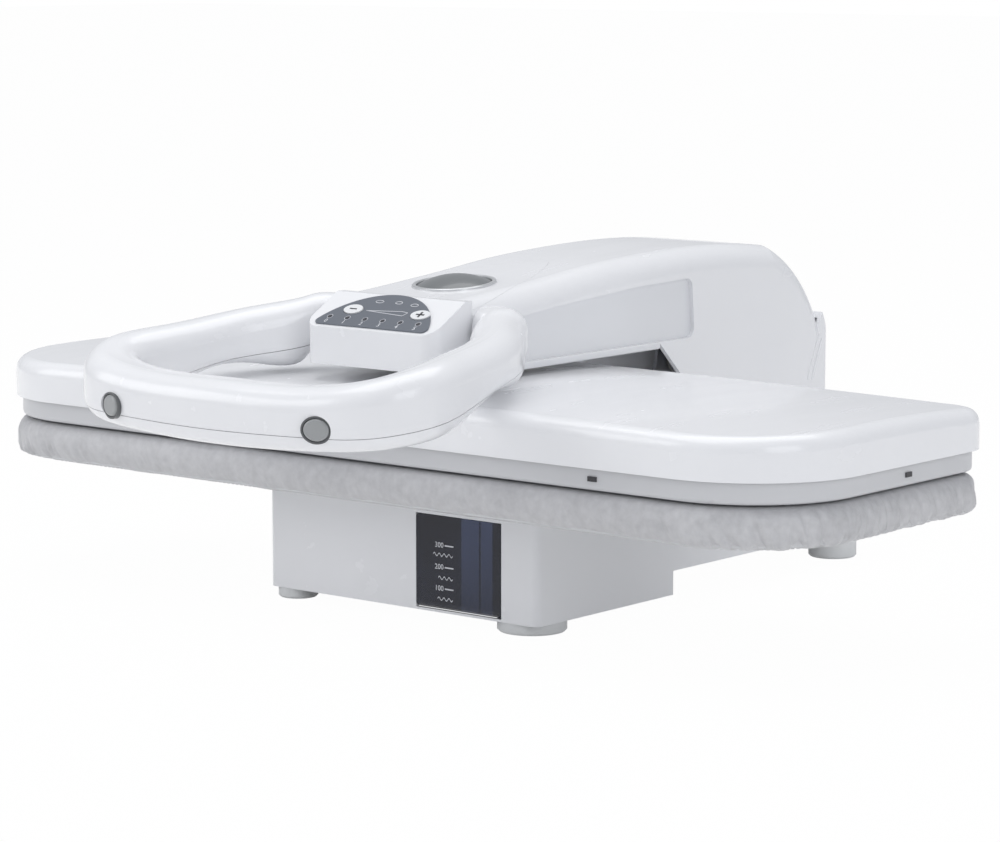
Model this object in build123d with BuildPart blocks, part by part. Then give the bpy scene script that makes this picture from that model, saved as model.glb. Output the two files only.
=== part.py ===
# Steam ironing press: a padded pressing board on a low base, and a heated steam
# head of the same outline carried by a rear-hinged arm with a D-shaped handle.
# Millimetres. X runs along the board, +Y to the rear, +Z up. The origin is on the
# floor, in the middle of the press.
from build123d import *
from math import asin, atan2, cos, degrees, radians, sin, sqrt
import os

os.makedirs("parts", exist_ok=True)

# Overall size and the plan outline that the head and the board share
overall_depth = 552.0
head_length = 640.0
head_depth = 215.0
handle_reach = 111.0
front_corner_radius = 74.0
rear_corner_radius = 22.0
handle_front_y = -overall_depth / 2
rear_wall_y = overall_depth / 2
head_front_y = handle_front_y + handle_reach
head_rear_y = head_front_y + head_depth
head_mid_y = (head_front_y + head_rear_y) / 2

# Heights from the floor upward
foot_height = 7.0
base_height = 73.0
panel_thickness = 2.0
foam_thickness = 18.0
cloth_thickness = 2.4
soft_gap = 0.3
plate_thickness = 8.0
rim_height = 18.4
cover_bottom_z = 116.5
crown_top_z = 146.6
crown_rise = 3.6
base_top_z = foot_height + base_height
panel_top_z = base_top_z + panel_thickness
foam_top_z = panel_top_z + foam_thickness
cloth_top_z = foam_top_z + soft_gap + cloth_thickness
plate_bottom_z = cloth_top_z + soft_gap
plate_top_z = plate_bottom_z + plate_thickness
rim_bottom_z = plate_bottom_z + 0.6
rim_top_z = rim_bottom_z + rim_height

# Walls, insets and clearances
plastic_wall = 2.5
arm_wall = 3.0
steel_wall = 2.5
cloth_inset = 2.0
cloth_bottom_drop = 2.5
foam_inset = cloth_inset + cloth_thickness + soft_gap
hem_width = 14.0
rim_inset = 4.0
plate_clearance = 1.0
running_clearance = 0.05
slide_clearance = 0.5
button_clearance = 0.3
head_travel = 3.0
cover_edge_radius = 9.0

# Base box, the lower rear body behind it, and the feet
base_half_width = 107.5
base_front_y = -108.6
box_rear_y = 26.0
rear_body_rear_y = 262.0
rear_body_bottom_z = 22.0
rear_body_top_z = 60.0
base_corner_radius = 20.0
front_cover_depth = 16.0
base_front_corner_radius = 5.0
foot_radius = 21.0
left_foot_radius = 12.5
rear_foot_radius = 16.0
rear_foot_y = 236.0
base_plate_thickness = 2.0

# Water tank in the front of the base
tank_left_x = 14.0
tank_right_x = 80.0
tank_bottom_z = 9.5
tank_top_z = 66.0
tank_depth = 122.0
tank_wall = 2.0
tank_front_thickness = 3.0

# Mains inlet in the rear wall of the base
gland_x = -60.0
gland_z = 41.0
gland_bore_radius = 4.2
gland_radius = 7.5
gland_flange = 3.5

# Arm, hinge and post
arm_half_width = 53.0
arm_front_y = -100.0
arm_bottom_z = 154.0
arm_tray_bottom_z = 150.4
arm_top_points = [
    (arm_front_y, 196.0),
    (-56.0, 199.5),
    (-20.0, 202.8),
    (24.0, 207.4),
    (71.0, 210.4),
    (129.0, 212.0),
]
arm_ridge_y = 213.0
arm_shoulder_radius = 15.0
rear_arc_centre = (175.0, 110.0)
rear_arc_radius = 104.5
seam_top = (rear_arc_centre[0] + sqrt(rear_arc_radius**2 - 49.0**2), rear_arc_centre[1] + 49.0)
cheek_bottom_z = 88.0
seam_bottom = (236.0, cheek_bottom_z)
cheek_front = [(158.0, cheek_bottom_z), (105.0, 134.0), (84.0, arm_bottom_z)]
hinge_y = 225.0
hinge_z = 125.0
shaft_radius = 7.0
bush_radius = 10.0
frame_half_width = 25.0
frame_height = 28.0
post_half_width = 41.0
spring_wire_radius = 1.4
spring_turns = 3

# Control nose and its sloping panel
nose_half_width = 51.0
nose_front_y = -137.4
nose_bottom_z = 155.4
panel_front_z = 178.0
panel_rear_y = -106.0
panel_rear_z = 196.0
panel_slope = degrees(atan2(panel_rear_z - panel_front_z, panel_rear_y - nose_front_y))
label_half_width = 45.5
label_depth = 34.0
label_thickness = 0.8
minus_x = -23.5
key_spacing = 53.0
key_length = 14.0
key_width = 9.0
key_travel = 0.6
led_count = 6
led_radius = 1.3

# Dome button on top of the arm
dome_y = -56.0
dome_z = 199.6
dome_radius = 23.2
dome_rise = 6.0
dome_travel = 3.0
bezel_width = 2.6
fascia_thickness = 1.5

# Steam buttons in the handle
steam_button_x = 81.0
steam_button_z = 140.0
steam_button_half_width = 8.1
steam_button_half_height = 6.4
steam_button_depth = 10.5
steam_button_turn = 17.0
steam_button_setback = 4.4
steam_button_travel = 3.0
steam_ring_width = 1.2


def plan_sketch(height, inset):
    """Plan outline of head and board at a height, drawn inward by an inset."""
    with BuildSketch(Plane.XY.offset(height)) as outline:
        with Locations((0, head_mid_y)):
            Rectangle(head_length - 2 * inset, head_depth - 2 * inset)
        fillet(outline.vertices().group_by(Axis.Y)[0], front_corner_radius - inset)
        fillet(outline.vertices().group_by(Axis.Y)[-1], max(rear_corner_radius - inset, 2.0))
    return outline.sketch


def profile_prism(points, x_low, x_high, radius=0.0):
    """Side-view polygon (Y, Z points) extruded from one X to another."""
    with BuildPart() as prism:
        with BuildSketch(Plane.YZ.offset(x_low)) as side:
            with BuildLine():
                Polyline(*points, close=True)
            make_face()
            if radius:
                fillet(side.vertices(), radius)
        extrude(amount=x_high - x_low)
    return prism.part


def box_between(low, high):
    """Plain block between two opposite corners."""
    size = [high[i] - low[i] for i in range(3)]
    middle = [(high[i] + low[i]) / 2 for i in range(3)]
    return Pos(*middle) * Box(*size, mode=Mode.PRIVATE)


def cylinder_between(x, y, low_z, high_z, radius):
    """Upright round post between two heights."""
    return Pos(x, y, (low_z + high_z) / 2) * Cylinder(radius, high_z - low_z, mode=Mode.PRIVATE)


def cross_cylinder(y, z, x_low, x_high, radius):
    """Round bar along X."""
    bar = Cylinder(radius, x_high - x_low, mode=Mode.PRIVATE)
    return Pos((x_low + x_high) / 2, y, z) * Rot(0, 90, 0) * bar


def save(builder, name):
    """Label a finished piece and write its STEP file."""
    builder.part.label = name
    export_step(builder.part, f"parts/{name}.step")


# Shallow double crown of the head's lid, as a slice of a very large barrel
crown_radius_y = ((head_depth / 2) ** 2 + crown_rise**2) / (2 * crown_rise)
crown_radius_x = ((head_length / 2) ** 2 + crown_rise**2) / (2 * crown_rise)
crown_half_angle = degrees(asin((head_length / 2 + 20) / crown_radius_x))
crown_axis_z = crown_top_z - crown_radius_x
crown_plane = Plane(
    origin=(0, 0, crown_axis_z),
    x_dir=(0, 1, 0),
    z_dir=(cos(radians(crown_half_angle)), 0, sin(radians(crown_half_angle))),
)
with BuildPart() as crown_form:
    with BuildSketch(crown_plane) as crown_side:
        with BuildLine():
            reach = head_depth / 2 + 10
            fall = crown_radius_y - sqrt(crown_radius_y**2 - reach**2)
            front_top = (head_mid_y - reach, crown_radius_x - fall)
            rear_top = (head_mid_y + reach, crown_radius_x - fall)
            ThreePointArc(front_top, (head_mid_y, crown_radius_x), rear_top)
            Polyline(
                rear_top,
                (rear_top[0], crown_radius_x - 60),
                (front_top[0], crown_radius_x - 60),
                front_top,
            )
        make_face()
    revolve(axis=Axis((0, 0, crown_axis_z), (0, 1, 0)), revolution_arc=2 * crown_half_angle)


def domed_block(inset, bottom_z, drop, edge_radius):
    """Solid with the plan outline, the crowned top and a rounded top edge."""
    with BuildPart() as block:
        extrude(plan_sketch(bottom_z, inset), amount=crown_top_z - bottom_z + 5)
        add(crown_form.part.moved(Location((0, 0, -drop))), mode=Mode.INTERSECT)
        fillet(block.faces().sort_by(Axis.Z)[-1].edges(), edge_radius)
    return block.part


# Head guide posts: two shoulder posts that carry the head under the arm
post_spacing = 36.0
post_positions = [(0, head_mid_y - post_spacing / 2), (0, head_mid_y + post_spacing / 2)]
guide_post_radius = 6.0
guide_spring_radius = 11.0
cover_screw_positions = [(x, y) for x in (-240, -120, 120, 240) for y in (head_mid_y - 60, head_mid_y + 60)]
cover_boss_radius = 5.0

# Head cover: white moulded lid with screw bosses and two post holes
with BuildPart() as head_cavity:
    add(domed_block(plastic_wall, cover_bottom_z - 1, plastic_wall, cover_edge_radius - plastic_wall))
    for x, y in cover_screw_positions:
        add(cylinder_between(x, y, rim_top_z, crown_top_z, cover_boss_radius), mode=Mode.SUBTRACT)
with BuildPart() as cover_blank:
    add(domed_block(0, cover_bottom_z, 0, cover_edge_radius))
    add(head_cavity.part, mode=Mode.SUBTRACT)
    with BuildSketch(Plane.XY.offset(rim_top_z)):
        with Locations(*post_positions):
            Circle(guide_spring_radius + 1.5)
    extrude(amount=crown_top_z, mode=Mode.SUBTRACT)
    for x, y in cover_screw_positions:
        add(cylinder_between(x, y, rim_top_z - 1, rim_top_z + 12, 1.6), mode=Mode.SUBTRACT)
with BuildPart() as head_cover:
    add(cover_blank.solids().sort_by(SortBy.VOLUME)[-1])
save(head_cover, "head_cover")

# Heater housing: grey tray whose wall shows as the rim under the cover
with BuildPart() as heater_housing:
    extrude(plan_sketch(rim_bottom_z, rim_inset), amount=rim_height)
    fillet(heater_housing.faces().sort_by(Axis.Z)[-1].edges(), 6.0)
    fillet(heater_housing.faces().sort_by(Axis.Z)[0].edges(), 2.5)
    pocket_height = rim_height - plastic_wall
    extrude(plan_sketch(rim_bottom_z, rim_inset + plastic_wall), amount=pocket_height, mode=Mode.SUBTRACT)
    for x, y in cover_screw_positions:
        add(cylinder_between(x, y, rim_top_z - 5, rim_top_z + 1, 2.0), mode=Mode.SUBTRACT)
save(heater_housing, "heater_housing")

# Head cover screws, driven up through the tray into the lid's bosses
with BuildPart() as cover_screws:
    for x, y in cover_screw_positions:
        head_top = rim_top_z - plastic_wall
        add(cylinder_between(x, y, head_top - 2.2, head_top, 3.6))
        add(cylinder_between(x, y, head_top, rim_top_z + 10, 1.5))
save(cover_screws, "head_cover_screws")

# Rim clips: small dark clips that hold the tray, two at the front and one at each end
clip_width = 6.0
rim_mid_z = (rim_bottom_z + cover_bottom_z) / 2
rim_front_y = head_front_y + rim_inset
with BuildPart() as rim_clips:
    for x in (-189.0, 189.0):
        add(box_between((x - clip_width / 2, rim_front_y - 0.9, rim_mid_z - 1.2),
                        (x + clip_width / 2, rim_front_y, rim_mid_z + 1.6)))
    for side in (-1, 1):
        end_x = side * (head_length / 2 - rim_inset)
        add(box_between((min(end_x, end_x + side * 0.9), -38.0, rim_mid_z - 1.2),
                        (max(end_x, end_x + side * 0.9), -32.0, rim_mid_z + 1.6)))
save(rim_clips, "rim_clips")

# Heating plate: cast aluminium soleplate with rows of steam holes
plate_inset = rim_inset + plastic_wall + plate_clearance
steam_hole_radius = 2.0
with BuildPart() as heating_plate:
    extrude(plan_sketch(plate_bottom_z, plate_inset), amount=plate_thickness)
    with Locations((0, head_mid_y, plate_bottom_z)):
        with GridLocations(44, 56, 11, 3):
            Hole(steam_hole_radius, depth=plate_thickness)
    fillet(heating_plate.faces().sort_by(Axis.Z)[0].edges().sort_by(Edge.length)[-1], 1.0)
save(heating_plate, "heating_plate")

# Heating element: one long tubular hairpin clamped on the plate
element_radius = 3.2
element_half_length = head_length / 2 - 70
element_half_gap = 46.0
element_z = plate_top_z + element_radius
with BuildPart() as heating_element:
    with BuildLine(Plane.XY.offset(element_z)) as element_path:
        start = (-element_half_length, head_mid_y - element_half_gap)
        near = (element_half_length - element_half_gap, head_mid_y - element_half_gap)
        bend = (element_half_length, head_mid_y)
        far = (element_half_length - element_half_gap, head_mid_y + element_half_gap)
        Line(start, near)
        ThreePointArc(near, bend, far)
        Line(far, (-element_half_length, head_mid_y + element_half_gap))
    with BuildSketch(Plane(origin=(*start, element_z), z_dir=(1, 0, 0))):
        Circle(element_radius)
    sweep()
save(heating_element, "heating_element")

# Steam chamber: the boiler block in the middle of the plate
chamber_half_length = 90.0
chamber_half_depth = 34.0
chamber_height = 6.4
with BuildPart() as steam_chamber:
    with BuildSketch(Plane.XY.offset(plate_top_z)):
        with Locations((0, head_mid_y)):
            RectangleRounded(2 * chamber_half_length, 2 * chamber_half_depth, 12)
    extrude(amount=chamber_height)
save(steam_chamber, "steam_chamber")

# Thermostat on the plate beside the steam chamber
thermostat_x = 150.0
with BuildPart() as thermostat:
    add(cylinder_between(thermostat_x, head_mid_y, plate_top_z, plate_top_z + 5.5, 11))
    add(box_between((thermostat_x - 5, head_mid_y - 16, plate_top_z),
                    (thermostat_x + 5, head_mid_y + 16, plate_top_z + 1.2)))
save(thermostat, "thermostat")

# Plate pillars: stand-offs that hang the plate from the tray's web
pillar_radius = 5.0
web_bottom_z = rim_top_z - plastic_wall
pillar_positions = [(x, head_mid_y + y) for x in (-280, -190, 190, 280) for y in (-72, 72)]
with BuildPart() as plate_pillars:
    for x, y in pillar_positions:
        add(cylinder_between(x, y, plate_top_z, web_bottom_z, pillar_radius))
save(plate_pillars, "plate_pillars")

# Head bracket: steel strap on the tray with two shoulder posts into the arm
bracket_thickness = 3.0
bracket_half_length = 36.0
frame_bottom_z = 156.0
frame_floor_z = frame_bottom_z + steel_wall
nut_height = 7.0
guide_post_top_z = frame_floor_z + nut_height + head_travel + 8.0
with BuildPart() as head_bracket:
    add(box_between((-bracket_half_length, head_mid_y - 70, rim_top_z),
                    (bracket_half_length, head_mid_y + 70, rim_top_z + bracket_thickness)))
    for x, y in post_positions:
        add(cylinder_between(x, y, rim_top_z + bracket_thickness, guide_post_top_z, guide_post_radius))
save(head_bracket, "head_bracket")

# Guide post nuts: rest on the arm's frame and hold the head up when the arm opens
with BuildPart() as guide_nuts:
    for x, y in post_positions:
        with BuildSketch(Plane.XY.offset(frame_floor_z + 0.05)) as nut_face:
            with Locations((x, y)):
                RegularPolygon(radius=10.5, side_count=6)
                Circle(guide_post_radius, mode=Mode.SUBTRACT)
        extrude(amount=nut_height)
save(guide_nuts, "guide_post_nuts")

# Pressure springs: coils round the posts that push the head down on the board
pressure_wire = 1.8
pressure_low_z = rim_top_z + bracket_thickness + 0.2
pressure_high_z = frame_bottom_z - 0.2
pressure_coil_radius = guide_spring_radius - pressure_wire
pressure_pitch = 6.0
coil_height = pressure_high_z - pressure_low_z - 2 * pressure_wire
with BuildPart() as pressure_springs:
    for x, y in post_positions:
        with BuildLine() as coil_line:
            coil_centre = (x, y, pressure_low_z + pressure_wire)
            Helix(pitch=pressure_pitch, height=coil_height, radius=pressure_coil_radius, center=coil_centre)
        with BuildSketch(Plane(origin=coil_line.line @ 0, z_dir=coil_line.line % 0)):
            Circle(pressure_wire)
        sweep(is_frenet=True)
save(pressure_springs, "pressure_springs")

# Board panel: the pressing board's steel plate, screwed down on the base
with BuildPart() as board_panel:
    extrude(plan_sketch(base_top_z, foam_inset + 0.4), amount=panel_thickness)
save(board_panel, "board_panel")

# Board foam: thick felt and foam pad on the panel
with BuildPart() as board_foam:
    extrude(plan_sketch(panel_top_z, foam_inset), amount=foam_thickness)
    fillet(board_foam.faces().sort_by(Axis.Z)[-1].edges(), 4.0)
save(board_foam, "board_foam")

# Board cloth: padded cover drawn over the foam and gathered under the panel
cloth_bottom_z = base_top_z - cloth_bottom_drop
with BuildPart() as board_cloth:
    extrude(plan_sketch(cloth_bottom_z, cloth_inset), amount=cloth_top_z - cloth_bottom_z)
    fillet(board_cloth.faces().sort_by(Axis.Z)[-1].edges(), 8.0)
    fillet(board_cloth.faces().sort_by(Axis.Z)[0].edges(), 6.0)
    cavity_bottom = base_top_z - soft_gap
    cavity_height = foam_top_z + soft_gap - cavity_bottom
    extrude(plan_sketch(cavity_bottom, foam_inset - soft_gap), amount=cavity_height, mode=Mode.SUBTRACT)
    extrude(plan_sketch(cloth_bottom_z - 1, cloth_inset + hem_width), amount=5, mode=Mode.SUBTRACT)
save(board_cloth, "board_cloth")

# Base housing: open tray with the tall front box and the low rear body
tray_front_y = base_front_y + front_cover_depth
bay_left_x = tank_left_x - slide_clearance
bay_right_x = tank_right_x + slide_clearance
bay_bottom_z = foot_height + base_plate_thickness
bay_top_z = tank_top_z + slide_clearance
bay_rear_y = base_front_y + tank_depth + slide_clearance
with BuildPart() as base_housing:
    add(box_between((-base_half_width, tray_front_y, foot_height), (base_half_width, box_rear_y, base_top_z)))
    add(box_between((-base_half_width, box_rear_y, rear_body_bottom_z),
                    (base_half_width, rear_body_rear_y, rear_body_top_z)))
    rear_corners = base_housing.edges().filter_by(Axis.Z).group_by(Axis.Y)[-1]
    fillet(rear_corners, base_corner_radius)
    inner_half = base_half_width - plastic_wall
    add(box_between((-inner_half, tray_front_y - 1, foot_height - 1),
                    (inner_half, box_rear_y - plastic_wall, base_top_z - plastic_wall)), mode=Mode.SUBTRACT)
    rear_inner_low = (-inner_half + 17, box_rear_y - 10, rear_body_bottom_z - 1)
    rear_inner_high = (inner_half - 17, rear_body_rear_y - plastic_wall, rear_body_top_z - plastic_wall)
    add(box_between(rear_inner_low, rear_inner_high), mode=Mode.SUBTRACT)
    bay_wall_low = (bay_left_x - plastic_wall, tray_front_y, bay_bottom_z)
    bay_wall_high = (bay_right_x + plastic_wall, bay_rear_y + plastic_wall, bay_top_z + plastic_wall)
    add(box_between(bay_wall_low, bay_wall_high))
    add(box_between((bay_left_x, tray_front_y - 1, bay_bottom_z - 1), (bay_right_x, bay_rear_y, bay_top_z)),
        mode=Mode.SUBTRACT)
    add(box_between((bay_right_x, tray_front_y, bay_top_z),
                    (inner_half, bay_rear_y, bay_top_z + plastic_wall)))
    for x in (-1, 1):
        for y in (-70.0, 5.0):
            add(cylinder_between(x * 94, y, bay_bottom_z, base_top_z - 1, 4.5))
    with BuildSketch(Plane(origin=(gland_x, rear_body_rear_y + 5, gland_z), z_dir=(0, -1, 0))):
        Circle(gland_radius)
    extrude(amount=10, mode=Mode.SUBTRACT)
save(base_housing, "base_housing")

# Base front cover: wraps the two front corners and frames the tank
with BuildPart() as base_front_cover:
    with BuildSketch(Plane.XY.offset(foot_height)) as cover_plan:
        with Locations((0, (base_front_y + tray_front_y) / 2)):
            Rectangle(2 * base_half_width, front_cover_depth)
        fillet(cover_plan.vertices().group_by(Axis.Y)[0], base_front_corner_radius)
        offset(amount=-plastic_wall, mode=Mode.SUBTRACT)
        with Locations((0, tray_front_y)):
            Rectangle(2 * (base_half_width - plastic_wall), 2 * plastic_wall, mode=Mode.SUBTRACT)
    extrude(amount=base_height)
    window_low = (tank_left_x - button_clearance, base_front_y - 1, tank_bottom_z - 1)
    window_high = (tank_right_x + button_clearance, base_front_y + 10, tank_top_z + button_clearance)
    add(box_between(window_low, window_high), mode=Mode.SUBTRACT)
save(base_front_cover, "base_front_cover")

# Base plate: closes the front box from below
plate_gap = 0.2
with BuildPart() as base_plate:
    base_plate_half = base_half_width - plastic_wall - plate_gap
    add(box_between((-base_plate_half, tray_front_y - 2, foot_height),
                    (base_plate_half, box_rear_y - plastic_wall - plate_gap, bay_bottom_z)))
save(base_plate, "base_plate")

# Rear base plate: closes the low rear body and carries the rear feet
with BuildPart() as rear_base_plate:
    add(box_between((rear_inner_low[0] + plate_gap, box_rear_y + 1, rear_body_bottom_z),
                    (rear_inner_high[0] - plate_gap, rear_inner_high[1] - plate_gap, rear_body_bottom_z + 2)))
save(rear_base_plate, "rear_base_plate")

# Feet: two large pads at the front corners and two taller ones at the rear
rear_foot_x = base_half_width - 23.0
with BuildPart() as front_feet:
    for side, radius in ((-1, left_foot_radius), (1, foot_radius)):
        foot_y = base_front_y + radius + 0.6
        add(cylinder_between(side * (base_half_width - radius), foot_y, 0, foot_height, radius))
    chamfer(front_feet.faces().group_by(Axis.Z)[0].edges(), 1.2)
save(front_feet, "front_feet")
with BuildPart() as rear_feet:
    for x in (-rear_foot_x, rear_foot_x):
        add(cylinder_between(x, rear_foot_y, 0, rear_body_bottom_z, rear_foot_radius))
    chamfer(rear_feet.faces().group_by(Axis.Z)[0].edges(), 1.2)
save(rear_feet, "rear_feet")

# Water tank: clear box that slides out to the front, with its smoked front panel
tank_rear_y = base_front_y + tank_depth
tank_body_front_y = base_front_y + tank_front_thickness
filler_y = -60.0
filler_x = (tank_left_x + tank_right_x) / 2
filler_radius = 11.0
with BuildPart() as tank_body:
    add(box_between((tank_left_x, tank_body_front_y, tank_bottom_z),
                    (tank_right_x, tank_rear_y, tank_top_z - 3)))
    fillet(tank_body.edges().filter_by(Axis.Y), 4.0)
    add(box_between((tank_left_x + tank_wall, tank_body_front_y + tank_wall, tank_bottom_z + tank_wall),
                    (tank_right_x - tank_wall, tank_rear_y - tank_wall, tank_top_z - 3 - tank_wall)),
        mode=Mode.SUBTRACT)
    add(cylinder_between(filler_x, filler_y, tank_top_z - 8, tank_top_z, filler_radius), mode=Mode.SUBTRACT)
save(tank_body, "tank_body")
with BuildPart() as tank_front:
    add(box_between((tank_left_x, base_front_y, tank_bottom_z),
                    (tank_right_x, tank_body_front_y, tank_top_z)))
    fillet(tank_front.edges().filter_by(Axis.Y), 2.0)
save(tank_front, "tank_front")
with BuildPart() as tank_cap:
    add(cylinder_between(filler_x, filler_y, tank_top_z - 3 - tank_wall, tank_top_z - 3, filler_radius - 0.2))
    add(cylinder_between(filler_x, filler_y, tank_top_z - 3, tank_top_z - 1, filler_radius + 2))
save(tank_cap, "tank_cap")
tube_x = tank_left_x + 22
with BuildPart() as pickup_tube:
    tube_top_z = tank_top_z - 3 - tank_wall
    add(cylinder_between(tube_x, tank_body_front_y + 12, tank_bottom_z + tank_wall, tube_top_z, 4))
    add(cylinder_between(tube_x, tank_body_front_y + 12, tank_bottom_z, tank_top_z, 2.6), mode=Mode.SUBTRACT)
save(pickup_tube, "pickup_tube")

# Pump, its hose and the power board inside the base, left of the tank bay
pump_x = -45.0
pump_y = -20.0
pump_floor_z = bay_bottom_z
with BuildPart() as pump:
    add(box_between((pump_x - 20, pump_y - 30, pump_floor_z), (pump_x + 20, pump_y + 30, pump_floor_z + 3)))
    with Locations(Pos(pump_x, pump_y, pump_floor_z + 21) * Rot(90, 0, 0)):
        Cylinder(18, 44)
save(pump, "pump")
hose_radius = 3.5
with BuildPart() as inlet_hose:
    add(cross_cylinder(pump_y, pump_floor_z + 21, pump_x + 18, bay_left_x - plastic_wall, hose_radius))
    add(cross_cylinder(pump_y, pump_floor_z + 21, pump_x, bay_left_x, hose_radius - 1.2), mode=Mode.SUBTRACT)
save(inlet_hose, "inlet_hose")
with BuildPart() as pump_hose:
    with BuildLine() as hose_path:
        hose_z = pump_floor_z + 21
        hose_high_z = rear_body_bottom_z + 18
        FilletPolyline(
            (pump_x, pump_y + 22, hose_z),
            (pump_x, pump_y + 60, hose_z),
            (pump_x, 80.0, hose_high_z),
            (pump_x, 150.0, hose_high_z),
            (pump_x, 150.0, rear_body_top_z - plastic_wall),
            radius=12,
        )
    with BuildSketch(Plane(origin=hose_path.line @ 0, z_dir=hose_path.line % 0)):
        Circle(hose_radius)
        Circle(hose_radius - 1.2, mode=Mode.SUBTRACT)
    sweep()
save(pump_hose, "pump_hose")
with BuildPart() as power_board:
    add(box_between((-100, -62, bay_bottom_z + 6), (-72, -6, bay_bottom_z + 7.6)))
    for y in (-52, -16):
        add(cylinder_between(-86, y, bay_bottom_z, bay_bottom_z + 6, 3))
    add(box_between((-96, -38, bay_bottom_z + 7.6), (-78, -12, bay_bottom_z + 22)))
    add(cylinder_between(-86, -50, bay_bottom_z + 7.6, bay_bottom_z + 24, 7))
save(power_board, "power_board")

# Cord gland: flanged mains inlet through the rear wall of the base
with BuildPart() as cord_gland:
    with BuildSketch(Plane(origin=(gland_x, rear_body_rear_y - plastic_wall, gland_z), z_dir=(0, 1, 0))):
        Circle(gland_radius)
    extrude(amount=plastic_wall)
    with BuildSketch(Plane(origin=(gland_x, rear_body_rear_y, gland_z), z_dir=(0, 1, 0))):
        Circle(gland_radius + 2.5)
    extrude(amount=gland_flange)
    with BuildSketch(Plane(origin=(gland_x, rear_body_rear_y - 10, gland_z), z_dir=(0, 1, 0))):
        Circle(gland_bore_radius)
    extrude(amount=20, mode=Mode.SUBTRACT)
save(cord_gland, "cord_gland")

# Post bracket: steel yoke on the rear of the base that carries the hinge
yoke_inner_x = post_half_width - steel_wall
with BuildPart() as post_bracket:
    add(box_between((-post_half_width, 178.0, rear_body_top_z),
                    (post_half_width, 239.0, rear_body_top_z + 4)))
    for side in (-1, 1):
        low = min(side * yoke_inner_x, side * post_half_width)
        high = max(side * yoke_inner_x, side * post_half_width)
        cheek = [(178, rear_body_top_z), (239, rear_body_top_z), (243, hinge_z), (204, hinge_z)]
        add(profile_prism(cheek, low, high))
        add(cross_cylinder(hinge_y, hinge_z, low, high, 21))
        add(cross_cylinder(hinge_y, hinge_z, low, high, bush_radius), mode=Mode.SUBTRACT)
save(post_bracket, "post_bracket")

# Hinge bushes: flanged nylon bushes pressed in the yoke
with BuildPart() as hinge_bushes:
    for side in (-1, 1):
        inner = side * yoke_inner_x
        outer = side * (post_half_width + 2)
        flange = side * post_half_width
        add(cross_cylinder(hinge_y, hinge_z, min(inner, outer), max(inner, outer), bush_radius))
        add(cross_cylinder(hinge_y, hinge_z, min(flange, outer), max(flange, outer), bush_radius + 4))
    bore_radius = shaft_radius + running_clearance
    add(cross_cylinder(hinge_y, hinge_z, -60, 60, bore_radius), mode=Mode.SUBTRACT)
save(hinge_bushes, "hinge_bushes")

# Hinge shaft: steel bar fixed in the arm's frame, running in the bushes
cheek_inner_x = arm_half_width - arm_wall
with BuildPart() as hinge_shaft:
    add(cross_cylinder(hinge_y, hinge_z, -cheek_inner_x, cheek_inner_x, shaft_radius))
    chamfer(hinge_shaft.edges().filter_by(GeomType.CIRCLE), 0.6)
save(hinge_shaft, "hinge_shaft")

# Lift springs: heavy torsion coils on the shaft that balance the head
spring_pitch = 2 * spring_wire_radius + 0.4
spring_length = spring_turns * spring_pitch
spring_coil_radius = shaft_radius + 1.2 + spring_wire_radius
spring_room_middle = (frame_half_width + yoke_inner_x) / 2
with BuildPart() as lift_springs:
    for side in (-1, 1):
        start_x = side * spring_room_middle - spring_length / 2
        with BuildLine() as lift_line:
            Helix(
                pitch=spring_pitch,
                height=spring_length,
                radius=spring_coil_radius,
                center=(start_x, hinge_y, hinge_z),
                direction=(1, 0, 0),
            )
        with BuildSketch(Plane(origin=lift_line.line @ 0, z_dir=lift_line.line % 0)):
            Circle(spring_wire_radius)
        sweep(is_frenet=True)
save(lift_springs, "lift_springs")

# Arm frame: steel channel from the hinge to the head's guide posts
frame_front_y = -94.0
frame_web_rear_y = 150.0
frame_inner_x = frame_half_width - steel_wall
frame_side = [
    (frame_front_y, frame_bottom_z),
    (frame_front_y, frame_bottom_z + frame_height - 4),
    (frame_web_rear_y, frame_bottom_z + frame_height),
    (hinge_y + 16, hinge_z + 22),
    (hinge_y + 16, hinge_z - 14),
    (hinge_y - 16, hinge_z - 14),
    (hinge_y - 40, frame_bottom_z),
]
with BuildPart() as arm_frame:
    for side in (-1, 1):
        low = min(side * frame_inner_x, side * frame_half_width)
        high = max(side * frame_inner_x, side * frame_half_width)
        add(profile_prism(frame_side, low, high, radius=5))
    add(box_between((-frame_half_width, frame_front_y + 5, frame_bottom_z),
                    (frame_half_width, frame_web_rear_y, frame_floor_z)))
    add(cross_cylinder(hinge_y, hinge_z, -60, 60, shaft_radius), mode=Mode.SUBTRACT)
    for x, y in post_positions:
        post_hole = guide_post_radius + running_clearance
        add(cylinder_between(x, y, frame_bottom_z - 1, frame_floor_z + 1, post_hole), mode=Mode.SUBTRACT)
save(arm_frame, "arm_frame")


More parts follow.
